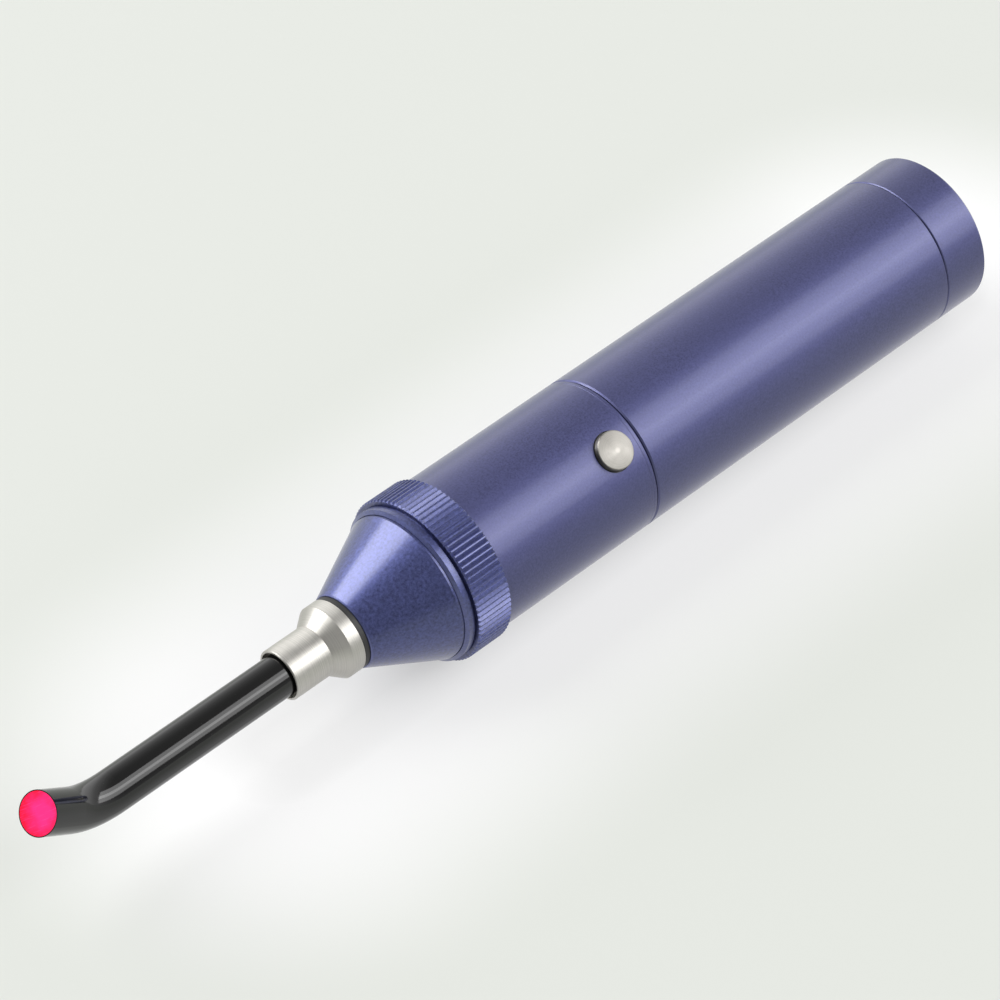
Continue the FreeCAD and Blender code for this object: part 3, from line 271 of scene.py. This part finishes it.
def plain_metal(name, colour, roughness):
    """Plated or drawn metal with slight stains."""
    material, tree, shader = new_material(name, Metallic=1.0)
    stain = noise(tree, object_place(tree), scale=900.0, detail=4.0)
    paint(tree, shader, blend_colour(tree, spread(tree, stain, 0.0, 1.0, *NOISE_CORE),
                                     shade(colour, 0.82), colour))
    vary_gloss(tree, shader, stain, roughness - 0.05, roughness + 0.1)
    roughen(tree, shader, stain, strength=0.1, distance=TOOL_MARK_DEPTH)
    return material


def moulded(name, colour, roughness):
    """Moulded plastic or rubber with a fine skin."""
    material, tree, shader = new_material(name)
    place = object_place(tree)
    skin = noise(tree, place, scale=1500.0)
    cloud = noise(tree, place, scale=120.0, detail=2.0)
    paint(tree, shader, blend_colour(tree, spread(tree, cloud, 0.0, 1.0, *NOISE_CORE),
                                     shade(colour, 0.85), shade(colour, 1.12)))
    vary_gloss(tree, shader, skin, roughness - 0.06, roughness + 0.06)
    roughen(tree, shader, skin, strength=0.12, distance=SKIN_DEPTH)
    return material


def black_glass():
    """Glossy black sheath with faint rubbing marks along it."""
    material, tree, shader = new_material("black_glass", IOR=1.5)
    place = object_place(tree)
    lengthwise = add(tree, "ShaderNodeMapping", {"Vector": place, "Scale": (30.0, 2500.0, 2500.0)})
    rubbed = noise(tree, lengthwise.outputs["Vector"], scale=1.0, detail=2.0)
    dust = noise(tree, place, scale=1800.0, detail=4.0, roughness=0.75)
    specks = spread(tree, dust, 0.0, 1.0, start=0.66, end=0.78)
    paint(tree, shader, blend_colour(tree, specks, SHEATH_BLACK, DUST_GREY))
    vary_gloss(tree, shader, rubbed, 0.06, 0.13, 0.35, 0.7)
    roughen(tree, shader, rubbed, strength=0.03, distance=TOOL_MARK_DEPTH)
    return material


def glowing_fibre():
    """Polished end of the fibre rod with a painted glow: pink in the middle, redder towards the rim."""
    material, tree, shader = new_material(
        "glowing_fibre", Base_Color=(*FIBRE_UNLIT, 1.0), Specular_IOR_Level=0.15, Roughness=0.35,
        Emission_Strength=1.0)
    place = object_place(tree)
    tip = next(mount for mount in frame["record"]["mounts"] if mount["name"] == "guide_tip")
    facing = Vector(tip["axis"])
    middle = Vector(tip["pos_m"]) + facing * tip["dims"]["length_mm"] * MM / 2 + FIBRE_BRIGHTEST_OFFSET
    away = vector_value(tree, "DISTANCE", place, middle)
    cloud = noise(tree, place, scale=380.0)
    along = vector_value(tree, "DOT_PRODUCT", place, FIBRE_SCRATCH_DIRECTION * 350.0)
    sideways = facing.cross(FIBRE_SCRATCH_DIRECTION).normalized()
    across = vector_value(tree, "DOT_PRODUCT", place, sideways * 5600.0)
    streaks = add(tree, "ShaderNodeCombineXYZ", {"X": along, "Y": across}).outputs["Vector"]
    scratch = noise(tree, streaks, scale=1.0)
    edge = math_node(tree, "ADD", away, spread(tree, cloud, -FIBRE_EDGE_DRIFT, FIBRE_EDGE_DRIFT))
    glow = blend_colour(tree, spread(tree, edge, 0.0, 1.0, *FIBRE_REDDENING), FIBRE_PINK, FIBRE_RED)
    # Painted glow: the scratches glow paler pink.
    painted_glow = blend_colour(tree, spread(tree, scratch, 0.0, 0.7, start=0.55, end=0.75), glow, FIBRE_SCRATCH)
    tree.links.new(painted_glow, shader.inputs["Emission Color"])
    roughen(tree, shader, scratch, strength=0.1, distance=TOOL_MARK_DEPTH)
    return material


def circuit_board(name, colour):
    """Solder mask with traces under it."""
    material, tree, shader = new_material(name, IOR=1.5)
    place = object_place(tree)
    traces = add(tree, "ShaderNodeTexBrick", {
        "Vector": place, "Scale": 700.0, "Mortar Size": 0.04, "Color1": (*colour, 1.0),
        "Color2": (*shade(colour, 0.9), 1.0), "Mortar": (*shade(colour, 1.9, lift=0.02), 1.0)})
    paint(tree, shader, traces.outputs["Color"])
    vary_gloss(tree, shader, noise(tree, place, scale=900.0), 0.25, 0.42)
    roughen(tree, shader, traces.outputs["Fac"], strength=0.2, distance=TOOL_MARK_DEPTH)
    return material


def clear_plastic():
    """Optical polycarbonate."""
    material, tree, shader = new_material("clear_plastic", Transmission_Weight=1.0, IOR=1.58)
    haze = noise(tree, object_place(tree), scale=700.0)
    vary_gloss(tree, shader, haze, 0.02, 0.09)
    paint(tree, shader, blend_colour(tree, haze, (0.94, 0.96, 0.97), (1.0, 1.0, 1.0)))
    return material


LOOKS = {
    "anodised_aluminium": lambda: anodised(
        "anodised_blue", BLUE, grain=2600.0, depth=0.07 * MM, roughness=0.56, contrast=0.26, coat_ior=1.34),
    "anodised_fittings": lambda: anodised(
        "anodised_fittings", DEEPER_BLUE, grain=1900.0, depth=0.14 * MM, roughness=0.5, contrast=0.45,
        coat_ior=1.45),
    "button_steel": lambda: faced_steel(
        "button_steel", (0.24, 0.231, 0.214), roughness=0.42, lines=9000.0, piece="button_cap",
        axis=BUTTON_AXIS),
    "machined_aluminium": lambda: turned_steel(
        "machined_aluminium", (0.78, 0.78, 0.77), roughness=0.3, lines=9000.0),
    "satin_steel": lambda: turned_steel(
        "satin_steel", (0.50, 0.487, 0.455), roughness=0.46, lines=5200.0),
    "battery_steel": lambda: plain_metal("battery_steel", (0.55, 0.54, 0.52), roughness=0.3),
    "spring_steel": lambda: plain_metal("spring_steel", (0.5, 0.5, 0.49), roughness=0.25),
    "black_rubber": lambda: moulded("black_rubber", (0.012, 0.012, 0.012), roughness=0.55),
    "black_glass": black_glass,
    "glowing_fibre": glowing_fibre,
    "clear_plastic": clear_plastic,
    "black_plastic": lambda: moulded("black_plastic", (0.02, 0.02, 0.021), roughness=0.45),
    "white_plastic": lambda: moulded("white_plastic", (0.78, 0.78, 0.75), roughness=0.42),
    "circuit_board": lambda: circuit_board("circuit_board", (0.012, 0.09, 0.04)),
    "led_board": lambda: circuit_board("led_board", (0.75, 0.75, 0.73)),
    "led_ceramic": lambda: moulded("led_ceramic", (0.82, 0.76, 0.45), roughness=0.3),
    "brass": lambda: plain_metal("brass", (0.80, 0.58, 0.24), roughness=0.28),
    "wire_red": lambda: moulded("wire_red", (0.55, 0.02, 0.015), roughness=0.4),
    "electrode_roll": lambda: moulded("electrode_roll", (0.08, 0.08, 0.085), roughness=0.6),
    "battery_wrap": lambda: moulded("battery_wrap", (0.03, 0.12, 0.36), roughness=0.3),
}


def dress_nodes():
    """Give every CAD node the look of its material slot."""
    made = {slot: build() for slot, build in LOOKS.items()}
    for part in frame["record"]["subparts"]:
        piece = nodes[part["node"]]
        piece.data.materials.clear()
        piece.data.materials.append(made[part["material_slot"]])


# ---------------------------------------------------------------- studio

CAMERA_PLACE = Vector((-0.4989, -0.3948, 0.5538))
CAMERA_AZIMUTH = math.radians(-44.30)
CAMERA_ELEVATION = math.radians(44.81)
CAMERA_LENS_MM = 157.56
SENSOR_WIDTH_MM = 36.0


def add_camera():
    """A long lens above the tip's near side."""
    data = bpy.data.cameras.new("camera")
    data.lens = CAMERA_LENS_MM
    data.sensor_width = SENSOR_WIDTH_MM
    data.clip_start = 0.01
    data.clip_end = 20.0
    camera = bpy.data.objects.new("camera", data)
    scene.collection.objects.link(camera)
    camera.location = CAMERA_PLACE
    back = Vector((math.sin(CAMERA_AZIMUTH) * math.cos(CAMERA_ELEVATION),
                   -math.cos(CAMERA_AZIMUTH) * math.cos(CAMERA_ELEVATION), math.sin(CAMERA_ELEVATION)))
    camera.rotation_mode = "QUATERNION"
    camera.rotation_quaternion = back.to_track_quat("Z", "Y")
    scene.camera = camera


TABLE_HALF_WIDTH = 8.0
# The table's glow round the object and its shade under the barrel are painted light, set by the object's
# rest position.
TABLE_PAINTED_GLOW_FROM_TIP = 0.055
TABLE_PAINTED_GLOW_FADE = (0.014, 0.062)
TABLE_PAINTED_SHADE_UNDER = (0.004, 0.014)
TABLE_COLOUR_NEAR_PAINTED_PALER = (0.24, 0.24, 0.24)
TABLE_COLOUR_FAR = (0.16, 0.163, 0.158)
TABLE_PAINTED_GLOW_NEAR = (0.625, 0.625, 0.625)
TABLE_PAINTED_GLOW_FAR = (0.505, 0.523, 0.485)


def add_floor():
    """A pale table that gives off light, which the knurled ring and the tail cap's edge both rest on.

    Its glow and colour are painted by distance from the barrel: a painted glow, brightest beside the barrel
    and fading away from it, and a painted shade straight under it.
    """
    low, high = cad_box
    ring_low, ring_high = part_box("coupling_ring")
    cap_low, cap_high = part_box("tail_cap")
    slope = (cap_low.z - ring_low.z) / (cap_high.x - ring_high.x)
    mesh = bpy.data.meshes.new("floor")
    half = TABLE_HALF_WIDTH
    corners = [(x, y, (x - ring_high.x) * slope + ring_low.z)
               for x, y in ((-half, -half), (half, -half), (half, half), (-half, half))]
    mesh.from_pydata(corners, [], [(0, 1, 2, 3)])
    floor = bpy.data.objects.new("floor", mesh)
    scene.collection.objects.link(floor)
    material, tree, shader = new_material("painted_glow_acrylic", Roughness=0.9, Emission_Strength=1.0)
    place = object_place(tree)
    split = add(tree, "ShaderNodeSeparateXYZ", {"Vector": place})
    along = add(tree, "ShaderNodeClamp", {
        "Value": split.outputs["X"], "Min": low.x + TABLE_PAINTED_GLOW_FROM_TIP, "Max": high.x})
    beyond = math_node(tree, "SUBTRACT", split.outputs["X"], along.outputs["Result"])
    away = hypotenuse(tree, beyond, split.outputs["Y"])
    # Painted shade: darker straight under the barrel.
    under = spread(tree, away, 0.8, 1.0, *TABLE_PAINTED_SHADE_UNDER)
    texture = noise(tree, place, scale=400.0, detail=5.0)
    fade_start, fade_end = TABLE_PAINTED_GLOW_FADE
    painted_glow_fade = add(tree, "ShaderNodeMapRange", {"Value": away, "From Min": fade_start, "From Max": fade_end},
               interpolation_type="SMOOTHSTEP").outputs["Result"]
    # Painted glow: paler and brighter near the barrel, fading away from it.
    paint(tree, shader, blend_colour(tree, painted_glow_fade, TABLE_COLOUR_NEAR_PAINTED_PALER, TABLE_COLOUR_FAR))
    painted_glow = blend_colour(tree, painted_glow_fade, TABLE_PAINTED_GLOW_NEAR, TABLE_PAINTED_GLOW_FAR)
    painted_glow_and_shade = add(tree, "ShaderNodeVectorMath", {0: painted_glow, "Scale": under}, operation="SCALE")
    tree.links.new(painted_glow_and_shade.outputs["Vector"], shader.inputs["Emission Color"])
    roughen(tree, shader, texture, strength=0.03, distance=0.1 * MM)
    mesh.materials.append(material)


def softbox(name, towards, distance, width, height, power):
    """An area light that faces the object's middle from a direction. Its width runs along the barrel."""
    data = bpy.data.lights.new(name, "AREA")
    data.shape = "RECTANGLE"
    data.size = width
    data.size_y = height
    data.energy = power
    light = bpy.data.objects.new(name, data)
    scene.collection.objects.link(light)
    low, high = cad_box
    out = Vector(towards).normalized()
    side = (BARREL_AXIS - out * out.dot(BARREL_AXIS)).normalized()
    up = out.cross(side)
    turn = Matrix((side, up, out)).transposed().to_4x4()
    light.matrix_world = Matrix.Translation((low + high) / 2 + out * distance) @ turn
    light.visible_camera = False


RIGHT = (0.4955, -0.606, 0.6225)
LEFT = (-0.36, 0.66, 0.66)
DARK_SIDE = (-0.6, -0.4, 0.69)
ROOM_STRENGTH = 2.0
# The room's brightness against the cosine of the angle from its dark side.
ROOM_LEVELS = [(-1.0, 1.8), (-0.5, 1.6), (-0.22, 1.0), (0.0, 0.68), (0.18, 0.46), (0.3, 0.36), (0.95, 0.3)]


def add_light():
    """Two softboxes, the right one with a bright tube, in a pale room darker on the camera's side."""
    softbox("right_box", RIGHT, distance=1.2, width=1.3, height=0.95, power=11.7)
    softbox("right_tube", RIGHT, distance=1.19, width=1.3, height=0.24, power=2.9)
    softbox("left_box", LEFT, distance=1.2, width=0.75, height=1.0, power=18.5)
    world = bpy.data.worlds.new("studio")
    scene.world = world
    world.use_nodes = True
    tree = world.node_tree
    way = add(tree, "ShaderNodeTexCoord").outputs["Generated"]
    towards_dark = vector_value(tree, "DOT_PRODUCT", way, DARK_SIDE)
    ramp = add(tree, "ShaderNodeValToRGB", {"Fac": spread(tree, towards_dark, 0.0, 1.0, -1.0, 1.0)})
    ramp.color_ramp.interpolation = "EASE"
    marks = ramp.color_ramp.elements
    while len(marks) < len(ROOM_LEVELS):
        marks.new(0.5)
    for mark, (cosine, level) in zip(marks, ROOM_LEVELS):
        mark.position = (cosine + 1) / 2
        grey = level / ROOM_STRENGTH
        mark.color = (grey, grey, grey, 1.0)
    background = next(node for node in tree.nodes if node.type == "BACKGROUND")
    tree.links.new(ramp.outputs["Color"], background.inputs["Color"])
    background.inputs["Strength"].default_value = ROOM_STRENGTH


add_camera()
add_floor()
add_light()
scene.view_settings.view_transform = "Standard"
dress_nodes()
